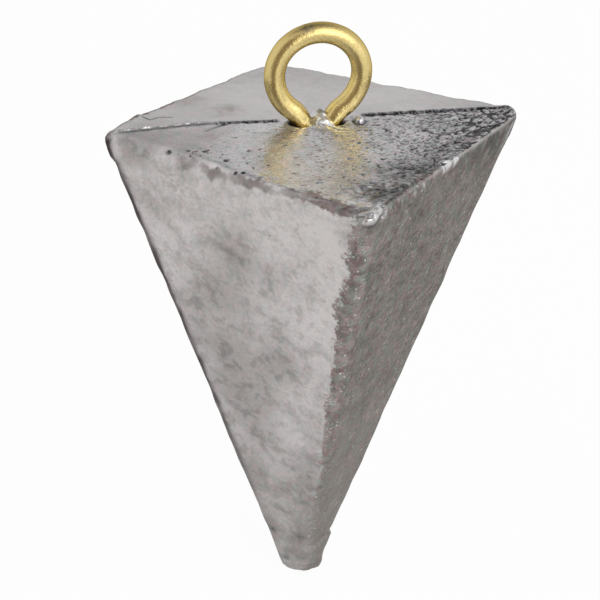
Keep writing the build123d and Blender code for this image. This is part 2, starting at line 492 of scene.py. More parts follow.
def front_corner(points, depth):
    """The crumpled skin at the front corner, bright as unoxidised lead and partly a painted highlight,
    painted shade along the fold below, and painted glints and a painted highlight line on the right rim.
    """
    x, y, _ = points.T
    below = depth[:, TOP]
    crumple = drift(points, (1.1, 0.6, 0.6), 77) + 0.35 * drift(points, 0.35, 79)
    over = np.hypot((x - 0.5) / 2.6, (y + 17.2) / 1.5) + 0.5 * crumple
    lip = ease(1.1, 0.6, over) * ease(1.1, 0.5, below) * ease(-2.2, -0.8, x)
    from_corner = (x + y + 18.9) * sqrt(0.5)
    fold_line = below - 1.5 + 0.4 * from_corner + 0.2 * crumple
    fold = bell(fold_line, 0.22) * ease(0.3, 0.8, from_corner) * ease(3.2, 2.2, from_corner)
    glints = sum(hump(points, gx, gy, size) for gx, gy, size in RIM_GLINTS) * ease(1.1, 0.5, below)
    broken = ease(-0.6, 0.0, drift(points, (0.3, 0.3, 0.6), 78))
    bright = lip * (0.15 + 0.55 * ease(-0.3, 0.3, crumple)) + glints * broken
    by_rim = np.maximum(depth[:, RIGHT], below)
    # A painted highlight line along the right rim
    pale_rim = bell(below - depth[:, RIGHT], 0.3) * ease(0.9, 0.5, by_rim)
    pale_rim *= np.clip(0.4 + ease(6, 10, x) + 0.8 * drift(points, 1.4, 70), 0, 1)
    height = 0.15 * lip * crumple - 0.07 * fold + 0.05 * glints
    return height, np.clip(bright + (0.3 + 0.1 * ease(7, 10, x)) * pale_rim, 0, 1), fold


def pits(points, top):
    """Gas pits in the smooth left of the top's front."""
    depth = sum(hump(points, x, y, radius) * radius for x, y, radius in PITS)
    # Painted shade in the pits
    dark = sum(hump(points, x, y, 1.3 * radius) for x, y, radius in PITS)
    return -0.6 * depth * top, np.clip(2 * dark, 0, 1) * top


def pinhole_zone(points, top):
    """Where pinholes too small to model crowd round the gas pits; the material paints them as specks of
    shade.
    """
    x, y, _ = points.T
    across = bell(y + 4.9 - 0.11 * np.minimum(x + 10, 0) + 1.3 * np.maximum(x + 10, 0), 0.8)
    return across * ease(-13.8, -12.6, x) * ease(-6.6, -7.6, x) * top


def tip_roughness(points):
    """The end is rough where the sprue was nipped off, blunt in front, with a notch on its right."""
    x, y, z = points.T
    above = z - TIP_Z
    rough = ease(6, 0.5, above)
    ledge = ease(4.1, 3.6, above) * ease(0.2, 0.6, above) - 0.4 * bell(above - 4.2, 0.35)
    blunt = 0.3 * bell(np.hypot(x - 1.6, y + 0.3), 1.0) - 0.3 * bell(np.hypot(x, y + 1.9), 0.9)
    height = rough * (0.08 * drift(points, 1.3, 61) + 0.05 * drift(points, 0.6, 62))
    return height + 0.25 * ledge * ease(0.3, 1.2, x - y) + blunt * ease(1.6, 0.3, above)


TIP_SPOTS = (
    (-3.1, -46.8, 0.4, 0.9), (-1.6, -50.2, 0.35, 0.9), (-0.9, -46.3, 0.5, 0.7), (0.1, -38.5, 0.35, 0.6),
    (-2.6, -40.5, 0.45, 0.5), (-0.7, -38.9, 0.6, 0.4), (-0.4, -49.0, 0.5, 0.4), (-0.5, -42.0, 0.7, 0.35),
)


def tip_spots(points):
    """Dark spots on the front near the tip: places (x, z), sizes and depths."""
    x, y, z = points.T
    stray = 0.25 * drift(points, 0.7, 95)
    dark = sum(
        depth * bell(np.hypot(x - at_x, z - at_z) + stray, size)
        for at_x, at_z, size, depth in TIP_SPOTS
    )
    return np.clip(dark, 0, 1) * ease(0.5, -0.3, y)


def edge_wear(points, depth):
    """How near each place is to a worn edge: 1 on it, and 0.5 where the oxide begins."""
    x, _, z = points.T

    def along(first, second, width):
        return 1 - np.maximum(depth[:, first], depth[:, second]) / (2 * width)

    front_width = 0.45 + 0.9 * ease(TIP_Z + 12, RIDGE_Z - 8, z) + 0.4 * ease(-6.8, -5.4, z)
    front = along(LEFT, RIGHT, front_width)
    left_rim = along(LEFT, TOP, 0.3 + 0.15 * ease(-6, -2, x)) - 0.5 * ease(-3, -6, x)
    right_rim = along(RIGHT, TOP, 0.3) - ease(12, 15, x)
    back = along(BACK_LEFT, BACK_RIGHT, 1.0)
    back_rims = np.maximum(along(BACK_LEFT, TOP, 0.4), along(BACK_RIGHT, TOP, 0.4))
    return np.clip(np.max([front, left_rim, right_rim, back, back_rims], axis=0), 0, 1)


RIM_STAIN_X = (-15, -13.4, -12.6, -11.6, -10.7, -9.5, -8.3, -7.0, -6.2, -5.2, -4.5, -3.2, -1.4, 0.6, 1.2)
RIM_STAIN_DEPTH = (0, 0.1, 0.55, 0.2, 0.75, 0.35, 0.85, 0.7, 0.35, 0.7, 0.4, 0.75, 0.85, 0.7, 0)


def rim_stain(points, depth):
    """A ragged brown stain along the front left rim, deeper in some places."""
    x = points[:, 0]
    from_rim = depth[:, TOP] - depth[:, LEFT] - 0.15 + 0.7 * ease(-7, -3, x)
    ragged = 0.55 * drift(points, 1.3, 93) + 0.45 * drift(points, 0.5, 94)
    by_rim = np.maximum(depth[:, LEFT], depth[:, TOP])
    band = ease(1.0, 0.35, np.abs(from_rim) / 1.1 + ragged) * ease(2.6, 1.6, by_rim)
    return np.clip(1.25 * np.interp(x, RIM_STAIN_X, RIM_STAIN_DEPTH), 0, 1) * band


def seam_shade(points, depth):
    """Painted shade down the two edges where the mould parts, mostly on the front of the left one: a
    shadow line beside the flash fin.
    """
    _, y, z = points.T
    ragged = 0.2 * drift(points, 1.1, 53) + 0.12 * drift(points, 0.5, 57)
    left = np.maximum(depth[:, LEFT], depth[:, BACK_LEFT]) + ragged
    right = np.maximum(depth[:, RIGHT], depth[:, BACK_RIGHT])
    patchy = np.clip(0.9 + 0.4 * drift(points, 1.8, 52), 0.4, 1) * ease(TIP_Z + 2, TIP_Z + 24, z)
    shade = (0.2 * ease(1.6, 0.9, left) + 0.75 * ease(1.12, 0.72, left)) * ease(0.75, 0.3, y)
    return np.clip(patchy * shade + 0.2 * ease(0.8, 0, right), 0, 1)


# How much of each side the pale oxide covers, in the order of SIDE_SIGNS
BLOOM = (1.0, 0.0, 0.7, 0.4)
# Soft spots of colour: (x, y, z, size, depth)
STAINS = (
    (-8.2, -7.4, -12.6, 2.8, 1.0), (-9.2, -4.8, -18.0, 3.6, 1.0), (-9.3, -2.6, -24.5, 3.0, 0.8),
    (-13.6, -2.2, -10.0, 2.0, 0.6), (-6.2, -5.4, -25.0, 3.2, 0.6), (-5.2, -4.6, -28.6, 2.8, 0.7),
    (-7.0, -3.0, -30.0, 3.4, 1.0), (-4.8, -3.8, -33.8, 3.2, 1.0), (-3.7, -8.3, -24.5, 2.4, 0.9),
    (-10.6, -2.6, -20.5, 2.0, 0.3), (-15.4, -2.4, -4.6, 1.8, 0.9), (-12.4, -5.2, -4.7, 1.8, 0.9),
    (-10.0, -2.4, -4.5, 2.2, 0.8), (-10.5, 7.4, -4.7, 1.6, 0.9), (-7.2, 3.9, -4.5, 1.6, 0.9),
    (-14.6, 1.8, -4.4, 1.6, 0.3), (-16.6, -1.6, -5.2, 1.6, 0.9), (-0.8, -5.0, -40.5, 2.0, 1.0),
)
LIGHT_SPOTS = (
    (-4.5, -13.2, -7.5, 3.6, 1.0), (-2.4, -14.6, -11.0, 3.2, 0.8), (-1.8, -13.0, -16.0, 2.6, 0.8),
    (-2.2, -6.0, -31.5, 2.8, 1.0), (-1.4, -8.6, -27.5, 2.6, 1.0), (-4.8, -10.8, -11.8, 2.2, 0.8),
    (-12.0, -4.2, -13.2, 2.0, 0.8), (7.0, 5.0, -4.6, 6.0, 0.9), (-4.0, 5.5, -4.6, 6.0, 1.0),
)
BLOTCHES = (
    (-13.0, -4.2, -6.5, 3.2, 1.0), (-10.4, -5.0, -12.0, 2.6, 0.7), (-7.5, -4.6, -25.0, 3.5, 0.8),
    (-5.5, -3.0, -34.0, 4.0, 1.0), (-3.5, -3.0, -41.0, 4.5, 0.8), (-4.0, -7.5, -23.0, 2.5, 0.6),
)


def spots(points, places):
    """Soft spots at those places, with wandering borders."""
    moved = points + 0.9 * drift(points, 2.4, 91)[:, None] + 0.4 * drift(points, 1.1, 92)[:, None]
    shares = [bell(np.linalg.norm(moved - place[:3], axis=1), place[3]) * place[4] for place in places]
    return np.clip(sum(shares), 0, 1)


def side_tones(points, normals):
    """How far the pale oxide has grown on each side face, and where it is stained and blotched."""
    outward = np.array([(sx * sqrt(0.5), sy * sqrt(0.5), -tan(SIDE_LEAN)) for sx, sy in SIDE_SIGNS])
    facing = normals @ outward.T
    grown = np.zeros(len(points))
    soft = 0.1 + 0.8 * ease(TIP_Z + 18, TIP_Z + 8, points[:, 2])
    for side, share in enumerate(BLOOM):
        lead_over_rest = facing[:, side] - np.delete(facing, side, axis=1).max(axis=1)
        grown += share * ease(-1, 1, lead_over_rest / soft)
    return grown, spots(points, STAINS), spots(points, BLOTCHES)


def settle_relief(points, normals):
    """Height of all the relief along the normals, and the masks that the lead material reads."""
    depth = -plane_heights(points)
    top = ease(0.55, 0.9, normals[:, 2])
    wrinkle, furrow, dark_patch = wrinkles(points, top)
    line, crevice, bead = parting_line(points, top)
    legs, fresh_and_glints, shade = lead_round_the_legs(points, top)
    pit, pitted = pits(points, top)
    waves = 0.05 * drift(points, 7, 73) + 0.02 * drift(points, 2.4, 74) + 0.008 * drift(points, 0.9, 75)
    waves += 0.012 * top * drift(points, (0.45, 0.3, 1), 69)
    height = waves + wrinkle + line + legs + pit
    lip, lip_bright, fold = front_corner(points, depth)
    by_back_rim = ease(1.6, 0.8, np.maximum(depth[:, BACK_LEFT], depth[:, TOP]))
    height += 0.1 * bell(depth[:, BACK_LEFT] - depth[:, TOP], 0.8) * by_back_rim
    height += side_flash(points, normals) + rim_lumps(points, depth) + tip_roughness(points) + lip
    left_height, left_dark, left_light = left_nub(points, depth)
    right_height, right_dark, right_strip, right_dim = right_nub(points, depth, top)
    height += left_height + right_height
    bloom, stain, blotch = side_tones(points, normals)
    right_dim = np.clip(0.8 * right_dim, 0, 1)
    dull_left = ease(-9, -15, points[:, 0]) * ease(1, -1, points[:, 1])
    masks = {
        "wear": edge_wear(points, depth),
        # seam: painted shade down the parting edges and at the corner nubs' outer edges
        "seam": np.max([seam_shade(points, depth), left_dark, right_dark], axis=0),
        "furrow": furrow,
        "dark_patch": np.max([dark_patch, right_dim, 0.75 * tip_spots(points)], axis=0),
        # crevice: painted shade in crevices, pits, the fold and round the legs and nodule
        "crevice": np.clip(crevice + pitted + shade + 0.4 * fold, 0, 1),
        # Bright unoxidised lead, and painted glints and highlights on the bead, rims and nubs
        "fresh_and_glints": np.clip(fresh_and_glints + bead + lip_bright + 0.6 * right_strip + 0.5 * left_light, 0, 1),
        # Places of painted glints down the front edge
        "painted_glints": painted_edge_glints(points),
        "rim_stain": rim_stain(points, depth),
        "pinholes": pinhole_zone(points, top),
        "level": ease(0.88, 0.995, normals[:, 2]) * (1 - 0.5 * dull_left),
        "bloom": bloom,
        "stain": stain,
        "blotch": blotch,
        "light_spot": spots(points, LIGHT_SPOTS),
        "tip_dull": ease(TIP_Z + 17, TIP_Z + 8, points[:, 2]),
    }
    return height, masks


def lay_out_facets(data, sharp):
    """A flat map of the six facets, with the two halves of the top left joined at the ridge."""
    corners = casting_corners()
    slant = np.linalg.norm(corners["tip"] - (corners["left"] + corners["front"]) / 2)
    width = np.linalg.norm(corners["left"] - corners["front"])
    gap = 1.0
    flat = {
        TOP_FRONT: ((0, 0), (width, 0), (width, width)),
        TOP_BACK: ((width, width), (0, width), (0, 0)),
    }
    for k in range(4):
        start = k * (width / 2 + gap)
        base, point = (width + gap, width + gap + slant)[:: 1 if k % 2 else -1]
        flat[k + 2] = ((start, base), (start + width / 2, point), (start + width, base))
    size = width + gap + slant + gap
    layer = data.uv_layers.new(name="OFBake")
    corner_vertex = np.empty(len(data.loops), np.int32)
    data.loops.foreach_get("vertex_index", corner_vertex)
    facet = np.empty(len(data.polygons), np.int32)
    data.polygons.foreach_get("material_index", facet)
    facet = np.repeat(facet, 3)
    place = np.empty((len(data.loops), 2))
    for number, names in enumerate(FACETS):
        a, b, c = (corners[name] for name in names)
        inside = facet == number
        share = (sharp[corner_vertex[inside]] - a) @ np.linalg.pinv(np.stack([b - a, c - a]))
        origin, first, second = (np.array(spot, float) for spot in flat[number])
        place[inside] = origin + share @ np.stack([first - origin, second - origin])
    layer.uv.foreach_set("vector", ((place + gap / 2) / size).astype(np.float32).ravel())


def lead_casting(material):
    """The lead body, with its relief as real shape and its masks as point attributes."""
    data = sharp_casting()
    sharp = np.empty(len(data.vertices) * 3, np.float32)
    data.vertices.foreach_get("co", sharp)
    sharp = sharp.reshape(-1, 3).astype(float)
    lay_out_facets(data, sharp)
    points, normals = round_off(sharp)
    height, masks = settle_relief(points, normals)
    points = points + normals * height[:, None]
    data.vertices.foreach_set("co", (points * MM).astype(np.float32).ravel())
    data.polygons.foreach_set("material_index", np.zeros(len(data.polygons), np.int32))
    for name, mask in masks.items():
        data.attributes.new(name, "FLOAT", "POINT").data.foreach_set("value", mask.astype(np.float32))
    data.shade_smooth()
    data.materials.append(material)
    data.update()
    piece = bpy.data.objects.new("lead_casting", data)
    bpy.context.scene.collection.objects.link(piece)
    return piece


# The wire's form

WIRE_SIDES = 48
RING_FLATTENING = 0.965
RING_STEP = 0.12
LEG_STEP = 0.5


def arc_points(centre, radius, start, turn):
    """Points along an arc in the parting plane, from start through turn, without its start."""
    count = max(2, round(abs(turn) * radius / RING_STEP))
    angles = start + turn * np.arange(1, count + 1) / count
    return [(centre[0] + radius * cos(a), centre[1] + radius * sin(a)) for a in angles]


def straight_points(start, end):
    """Points along a straight run, without its start."""
    count = max(2, round(np.hypot(end[0] - start[0], end[1] - start[1]) / LEG_STEP))
    return [tuple(np.add(start, np.subtract(end, start) * k / count)) for k in range(1, count + 1)]


def wire_line():
    """Centre line of the wire, (x, z): from the top of the ring to a foot, and its mirror image."""
    half = [(0, RING_RADIUS)]
    half += arc_points((0, 0), RING_RADIUS, pi / 2, -(pi / 2 + SHOULDER_TURN))
    half = [(x, z * RING_FLATTENING if z > 0 else z) for x, z in half]
    half += arc_points((SHOULDER_X, SHOULDER_Z), SHOULDER_RADIUS, pi - SHOULDER_TURN, SHOULDER_TURN)
    leg_end = (LEG_X, RIDGE_Z - LEG_DEPTH)
    half += straight_points(half[-1], leg_end)
    half += arc_points((LEG_X + FOOT_BEND_RADIUS, leg_end[1]), FOOT_BEND_RADIUS, pi, FOOT_TURN)
    along = (sin(FOOT_TURN), -cos(FOOT_TURN))
    half += straight_points(half[-1], tuple(np.add(half[-1], np.multiply(along, FOOT_LENGTH))))
    return np.array([(-x, z) for x, z in reversed(half[1:])] + half)


def wire_eye(material):
    """The bent wire, a round tube with slight flats and dents from its bending."""
    line = wire_line()
    along = np.gradient(line, axis=0)
    along /= np.linalg.norm(along, axis=1)[:, None]
    rings = len(line)
    flat = np.zeros(rings)
    centre = np.stack([line[:, 0], flat, line[:, 1]], axis=1)
    side = np.stack([-along[:, 1], flat, along[:, 0]], axis=1)
    angle = 2 * pi * np.arange(WIRE_SIDES) / WIRE_SIDES
    spoke = side[:, None] * np.cos(angle)[None, :, None]
    spoke[:, :, 1] += np.sin(angle)
    spoke = spoke.reshape(-1, 3)
    points = np.repeat(centre, WIRE_SIDES, axis=0) + WIRE_RADIUS * spoke
    dents = 0.014 * drift(points, 1.7, 81) + 0.006 * drift(points, 0.7, 82)
    points = points + spoke * dents[:, None]
    faces = []
    for ring in range(rings - 1):
        for k in range(WIRE_SIDES):
            a, b = ring * WIRE_SIDES + k, ring * WIRE_SIDES + (k + 1) % WIRE_SIDES
            faces.append((a, b, b + WIRE_SIDES, a + WIRE_SIDES))
    last = (rings - 1) * WIRE_SIDES
    faces.append(tuple(reversed(range(WIRE_SIDES))))
    faces.append(tuple(range(last, last + WIRE_SIDES)))
    data = bpy.data.meshes.new("wire_eye_bent")
    data.from_pydata((points * MM).tolist(), [], faces)
    mesh = bmesh.new()
    mesh.from_mesh(data)
    bmesh.ops.recalc_face_normals(mesh, faces=mesh.faces)
    mesh.to_mesh(data)
    mesh.free()
    data.shade_smooth()
    data.materials.append(material)
    piece = bpy.data.objects.new("wire_eye_bent", data)
    bpy.context.scene.collection.objects.link(piece)
    return piece


# Materials

GREEN_TINT = (0.44, 0.52, 0.495, 1)
PINK_TINT = (0.58, 0.48, 0.495, 1)


class Wiring:
    """Short ways to add nodes to one node tree."""

    def __init__(self, tree):
        self.tree = tree
        tree.nodes.clear()

    def feed(self, socket, value):
        if isinstance(value, bpy.types.NodeSocket):
            self.tree.links.new(value, socket)
        else:
            socket.default_value = value

    def add(self, kind, inputs=(), **settings):
        node = self.tree.nodes.new("ShaderNode" + kind)
        for name, value in settings.items():
            setattr(node, name, value)
        for name, value in dict(inputs).items():
            self.feed(node.inputs[name], value)
        return node

    def use(self, group, inputs):
        return self.add("Group", inputs, node_tree=group).outputs[0]

    def sum(self, operation, first, second):
        return self.add("Math", {0: first, 1: second}, operation=operation).outputs[0]

    def times(self, first, second):
        return self.sum("MULTIPLY", first, second)

    def over(self, first, second):
        return self.sum("DIVIDE", first, second)

    def plus(self, first, second):
        return self.sum("ADD", first, second)

    def less(self, first, second):
        return self.sum("SUBTRACT", first, second)

    def most(self, first, second):
        return self.sum("MAXIMUM", first, second)

    def axis(self, place, name):
        return self.add("SeparateXYZ", {0: place}).outputs[name]

    def along(self, direction, centre):
        """1 where the direction points to the centre, 0 square to it."""
        return self.add("VectorMath", {0: direction, 1: centre}, operation="DOT_PRODUCT").outputs["Value"]

    def ease(self, low, high, value):
        settings = {"Value": value, "From Min": low, "From Max": high}
        return self.add("MapRange", settings, interpolation_type="SMOOTHSTEP").outputs["Result"]

    def blend(self, share, first, second):
        return self.add("Mix", {0: share, 6: first, 7: second}, data_type="RGBA").outputs[2]

    def between(self, share, first, second):
        return self.add("Mix", {0: share, 2: first, 3: second}).outputs[0]

    def tinted(self, share, colour, place):
        """The colour with faint, uneven tints of pink and green."""
        pink = self.ease(0.36, 0.64, self.noise(place, 0.7, 4.0, 0.65))
        tint = self.blend(pink, GREEN_TINT, PINK_TINT)
        inputs = {0: share, 6: colour, 7: tint}
        return self.add("Mix", inputs, data_type="RGBA", blend_type="OVERLAY").outputs[2]

    def mask(self, name):
        return self.add("Attribute", attribute_name=name).outputs["Fac"]

    def place(self):
        """Place on the object, in millimetres."""
        spot = self.add("TexCoord").outputs["Object"]
        return self.add("VectorMath", {0: spot, "Scale": 1 / MM}, operation="SCALE").outputs[0]

    def noise(self, place, size, detail=2.0, rough=0.5):
        settings = {"Vector": place, "Scale": 1 / size, "Detail": detail, "Roughness": rough}
        return self.add("TexNoise", settings).outputs["Fac"]


def node_group(name, inputs, output):
    """A new group with those named inputs, {name: (kind, default)}, and one output, (name, kind)."""
    group = bpy.data.node_groups.new(name, "ShaderNodeTree")
    wires = Wiring(group)
    for label, (kind, default) in inputs.items():
        socket = group.interface.new_socket(label, in_out="INPUT", socket_type="NodeSocket" + kind)
        if default is not None:
            socket.default_value = default
    group.interface.new_socket(output[0], in_out="OUTPUT", socket_type="NodeSocket" + output[1])
    entry = group.nodes.new("NodeGroupInput").outputs
    leave = group.nodes.new("NodeGroupOutput").inputs[0]
    return group, wires, entry, leave


def mottle_group():
    """Cloudy patches with ragged borders: a mask from 0 to 1."""
    group, wires, entry, leave = node_group(
        "cloudy_mottle",
        {
            "Place": ("Vector", None),
            "Patch Size": ("Float", 4.0),
            "Coverage": ("Float", 0.5),
            "Softness": ("Float", 0.2),
        },
        ("Mask", "Float"),
    )
    scale = wires.over(1.0, entry["Patch Size"])
    settings = {"Vector": entry["Place"], "Scale": scale}
    cloud = wires.add("TexNoise", {**settings, "Detail": 5.0, "Roughness": 0.62, "Distortion": 0.4})
    level = wires.less(1.0, entry["Coverage"])
    low = wires.less(level, entry["Softness"])
    high = wires.plus(level, entry["Softness"])
    wires.feed(leave, wires.ease(low, high, cloud.outputs["Fac"]))
    return group


def grain_group():
    """Fine streaks along one direction: a height from 0 to 1."""
    group, wires, entry, leave = node_group(
        "streaky_grain",
        {"Place": ("Vector", None), "Turn": ("Vector", (0, 0, 0)), "Streak Size": ("Vector", (1, 1, 1))},
        ("Height", "Float"),
    )
    turn = {"Vector": entry["Place"], "Rotation": entry["Turn"]}
    turned = wires.add("VectorRotate", turn, rotation_type="EULER_XYZ").outputs[0]
    stretch = {0: turned, 1: entry["Streak Size"]}
    stretched = wires.add("VectorMath", stretch, operation="DIVIDE").outputs[0]
    wires.feed(leave, wires.noise(stretched, 1.0, 3.0, 0.6))
    return group


def speck_group():
    """Scattered round specks of uneven size: a mask from 0 to 1."""
    group, wires, entry, leave = node_group(
        "scattered_specks",
        {"Place": ("Vector", None), "Spacing": ("Float", 1.0), "Amount": ("Float", 0.2)},
        ("Mask", "Float"),
    )
    scale = wires.over(1.0, entry["Spacing"])
    cells = wires.add("TexVoronoi", {"Vector": entry["Place"], "Scale": scale})
    pick = wires.add("SeparateColor", {"Color": cells.outputs["Color"]}).outputs[0]
    size = wires.times(pick, entry["Amount"])
    wires.feed(leave, wires.ease(size, wires.times(size, 0.4), cells.outputs["Distance"]))
    return group


def new_material(name):
    material = bpy.data.materials.new(name)
    material.use_nodes = True
    return material, Wiring(material.node_tree)


BARE_DARK = (0.105, 0.094, 0.087, 1)
BARE_LIGHT = (0.35, 0.33, 0.312, 1)
PALE_DARK = (0.41, 0.396, 0.40, 1)
PALE_LIGHT = (0.765, 0.746, 0.753, 1)
STAIN_TONE = (0.28, 0.266, 0.264, 1)
SPECK_TONE = (0.20, 0.185, 0.18, 1)
TOP_DARK = (0.425, 0.42, 0.43, 1)
TOP_LIGHT = (0.72, 0.715, 0.73, 1)
PATCH_TONE = (0.09, 0.09, 0.088, 1)
# Bright unoxidised lead, and painted glints and highlights
FRESH_AND_GLINT_TONE = (0.80, 0.80, 0.81, 1)
SHADE_TONE = (0.02, 0.02, 0.025, 1)
WORN_TONE = (0.19, 0.155, 0.15, 1)
WORN_DARK = (0.175, 0.145, 0.138, 1)
WORN_LIGHT = (0.36, 0.34, 0.325, 1)
TOP_STAIN = (0.33, 0.295, 0.29, 1)
# Painted shade down the parting edges and at the outer edges of the corner nubs
SEAM_SHADE_TONE = (0.058, 0.042, 0.044, 1)


def pale_oxide(wires, place, mottle, specks, stain, blotch, light_spot):
    """Colour of the pale skin on the side faces: cloudy, stained, blotched and specked."""
    cloud = wires.use(mottle, {"Place": place, "Patch Size": 5.0, "Coverage": 0.54, "Softness": 0.13})
    small = wires.use(mottle, {"Place": place, "Patch Size": 1.3, "Coverage": 0.56, "Softness": 0.11})
    tiny = wires.ease(0.36, 0.64, wires.noise(place, 0.35, 4.0, 0.6))
    islands = wires.use(mottle, {"Place": place, "Patch Size": 1.5, "Coverage": 0.46, "Softness": 0.05})
    squiggles = wires.use(mottle, {"Place": place, "Patch Size": 0.5, "Coverage": 0.44, "Softness": 0.05})
    dots = wires.use(specks, {"Place": place, "Spacing": 0.9, "Amount": 0.13})
    share = wires.between(0.25, wires.between(0.5, cloud, small), tiny)
    share = wires.plus(share, wires.times(light_spot, 0.2))
    colour = wires.blend(share, PALE_DARK, PALE_LIGHT)
    low = wires.ease(-18, -36, wires.axis(place, "Z"))
    stain = wires.most(stain, wires.times(low, wires.between(cloud, 0.9, 0.6)))
    stain = wires.times(stain, wires.between(light_spot, 1.0, 0.3))
    stained = wires.times(stain, wires.between(small, 0.85, 0.55))
    marks = wires.most(islands, wires.times(squiggles, 0.8))
    marked = wires.times(wires.times(marks, blotch), 0.45)
    colour = wires.blend(wires.most(stained, marked), colour, STAIN_TONE)
    return wires.blend(wires.times(dots, 0.7), colour, SPECK_TONE)


def bare_lead(wires, place, streaks, fine, grain, specks, wear):
    """Colour of the bare lead: dark and streaky, with brownish edges, and a few bright sparks and glint
    lines painted on as highlights.
    """
    patches = wires.ease(0.35, 0.65, wires.noise(place, 2.5, 4.0, 0.6))
    share = wires.between(0.3, wires.ease(0.34, 0.66, wires.between(0.42, streaks, fine)), patches)
    colour = wires.blend(share, BARE_DARK, BARE_LIGHT)
    low = wires.ease(-20, -46, wires.axis(place, "Z"))
    colour = wires.blend(wires.times(low, 0.5), colour, BARE_LIGHT)
    lumps = wires.ease(0.34, 0.68, wires.noise(place, 1.1, 4.0, 0.6))
    worn_colour = wires.blend(lumps, WORN_DARK, WORN_LIGHT)
    colour = wires.blend(wires.times(wires.ease(0.36, 0.62, wear), 0.8), colour, worn_colour)
    # Painted sparkles and glint lines, for light catching the grain
    sparks = wires.use(specks, {"Place": place, "Spacing": 0.75, "Amount": 0.22})
    lines = wires.use(grain, {"Place": place, "Turn": (0.4, -0.5, 0.3), "Streak Size": (0.13, 0.13, 0.8)})
    glint_lines = wires.times(wires.ease(0.56, 0.64, lines), wires.ease(0.45, 0.58, wires.noise(place, 1.6)))
    bright = wires.most(wires.times(sparks, 0.7), wires.times(glint_lines, 0.45))
    return wires.blend(bright, colour, FRESH_AND_GLINT_TONE)


SPARK_BEND = (1.2, 1.2, 1.2)


def edge_sparks(wires, place, specks, wear, painted_glints):
    """Where painted glints crowd on the worn front edge."""
    swerve = wires.add("TexNoise", {"Vector": place, "Scale": 3.0, "Detail": 2.0}).outputs["Color"]
    bend = {0: swerve, 1: SPARK_BEND, 2: place}
    bent = wires.add("VectorMath", bend, operation="MULTIPLY_ADD").outputs[0]
    sparks = wires.use(specks, {"Place": bent, "Spacing": 0.34, "Amount": 0.42})
    clusters = wires.ease(0.42, 0.54, wires.noise(place, 2.2))
    crowded = wires.times(clusters, wires.ease(0.42, 0.54, wires.noise(place, 0.6)))
    crowded = wires.times(wires.ease(0.45, 0.65, wear), crowded)
    return wires.times(sparks, wires.most(crowded, painted_glints))


def top_skin(wires, place, clouds, stains, stain, light_spot):
    """Colour of the top: dirty and pocked with grey in front, calmer at the back, with brown stains."""
    grime = wires.ease(0.36, 0.64, wires.noise(place, 0.16, 2.0))
    dirt = wires.between(0.45, wires.between(0.5, clouds, stains), grime)
    calm = wires.ease(0.6, 2.0, wires.axis(place, "Y"))
    dirt = wires.between(wires.times(calm, 0.55), dirt, 0.5)
    dirt = wires.plus(dirt, wires.times(light_spot, 0.45))
    colour = wires.blend(dirt, TOP_DARK, TOP_LIGHT)
    return wires.blend(wires.times(stain, wires.between(stains, 0.2, 0.9)), colour, TOP_STAIN)


GRAIN_TURN = (0.625, -0.72, 0)
GRAIN_SIZE = (0.32, 0.32, 0.6)


